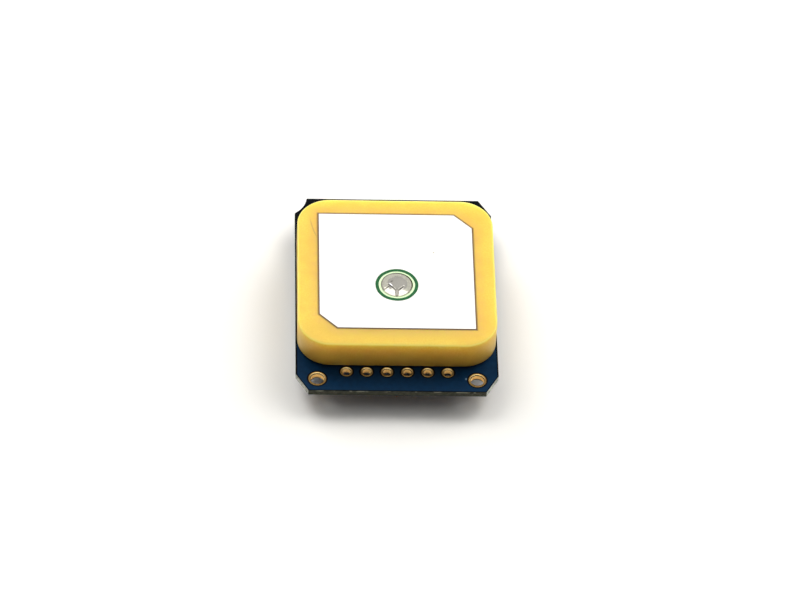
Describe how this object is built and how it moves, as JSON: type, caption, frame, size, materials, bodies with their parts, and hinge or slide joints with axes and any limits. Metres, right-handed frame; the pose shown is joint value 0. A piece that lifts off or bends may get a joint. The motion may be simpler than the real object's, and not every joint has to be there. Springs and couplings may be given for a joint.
{
  "type": "gps module",
  "caption": "Satellite positioning board with a square ceramic patch antenna on top, plated header holes along one edge, corner mounting holes and a screened receiver underneath.",
  "frame": {"origin": "middle of the board's outline, on the plane of the receiver shield's roof that the module rests on", "axes": "+Z out of the antenna's face, -Y towards the header row, +X to the right of the header row seen from the front"},
  "size_m": [0.0254, 0.033, 0.0081],
  "materials": {
    "board_laminate": "blue solder stop over woven glass laminate",
    "gold_plating": "bright plated",
    "tape_foam": "matt adhesive tape",
    "fired_silver": "matt fired silver",
    "antenna_ceramic": "fired and tumbled, satin",
    "green_solder_stop": "printed lacquer",
    "tinned_brass": "tin plated",
    "solder": "bright solidified solder",
    "carrier_laminate": "green solder stop over woven glass laminate",
    "tinned_sheet": "tin plated, rolled",
    "black_moulding": "matt moulded epoxy",
    "metal_lid": "plated lid",
    "capacitor_ceramic": "fired, satin",
    "stainless_steel": "drawn, satin",
    "seal_plastic": "moulded",
    "tinned_leads": "matt tin plated",
    "white_laminate": "moulded",
    "clear_resin": "clear cast resin",
    "white_alumina": "fired, satin",
    "dark_glaze": "printed glaze",
    "coil_ceramic": "fired, satin"
  },
  "bodies": {
    "root": {"main_board": "board_laminate", "header_hole_linings": "gold_plating", "mounting_hole_linings": "gold_plating", "feed_hole_lining": "gold_plating", "antenna_tape": "tape_foam", "antenna_ground_film": "fired_silver", "antenna_ceramic": "antenna_ceramic", "antenna_patch": "fired_silver", "feed_stop_ring": "green_solder_stop", "feed_pin": "tinned_brass", "feed_solder_dome": "solder", "feed_solder_cone": "solder", "solder_pads": "gold_plating", "receiver_carrier": "carrier_laminate", "receiver_contacts": "gold_plating", "receiver_solder": "solder", "receiver_shield": "tinned_sheet", "receiver_chip": "black_moulding", "receiver_oscillator": "metal_lid", "receiver_filter": "metal_lid", "receiver_crystal": "metal_lid", "receiver_capacitors": "capacitor_ceramic", "cell_cup": "stainless_steel", "cell_seal": "seal_plastic", "cell_cap": "stainless_steel", "cell_cap_tab": "stainless_steel", "cell_cup_tab": "stainless_steel", "regulator_body": "black_moulding", "regulator_leads": "tinned_leads", "memory_body": "black_moulding", "memory_leads": "tinned_leads", "diode_body": "black_moulding", "diode_leads": "tinned_leads", "light_base": "white_laminate", "light_lens": "clear_resin", "light_terminals": "gold_plating", "capacitor_bodies": "capacitor_ceramic", "capacitor_ends": "tinned_leads", "resistor_bodies": "white_alumina", "resistor_coats": "dark_glaze", "resistor_ends": "tinned_leads", "coil_body": "coil_ceramic", "coil_ends": "tinned_leads", "solder_fillets": "solder"}
  },
  "joints": []
}
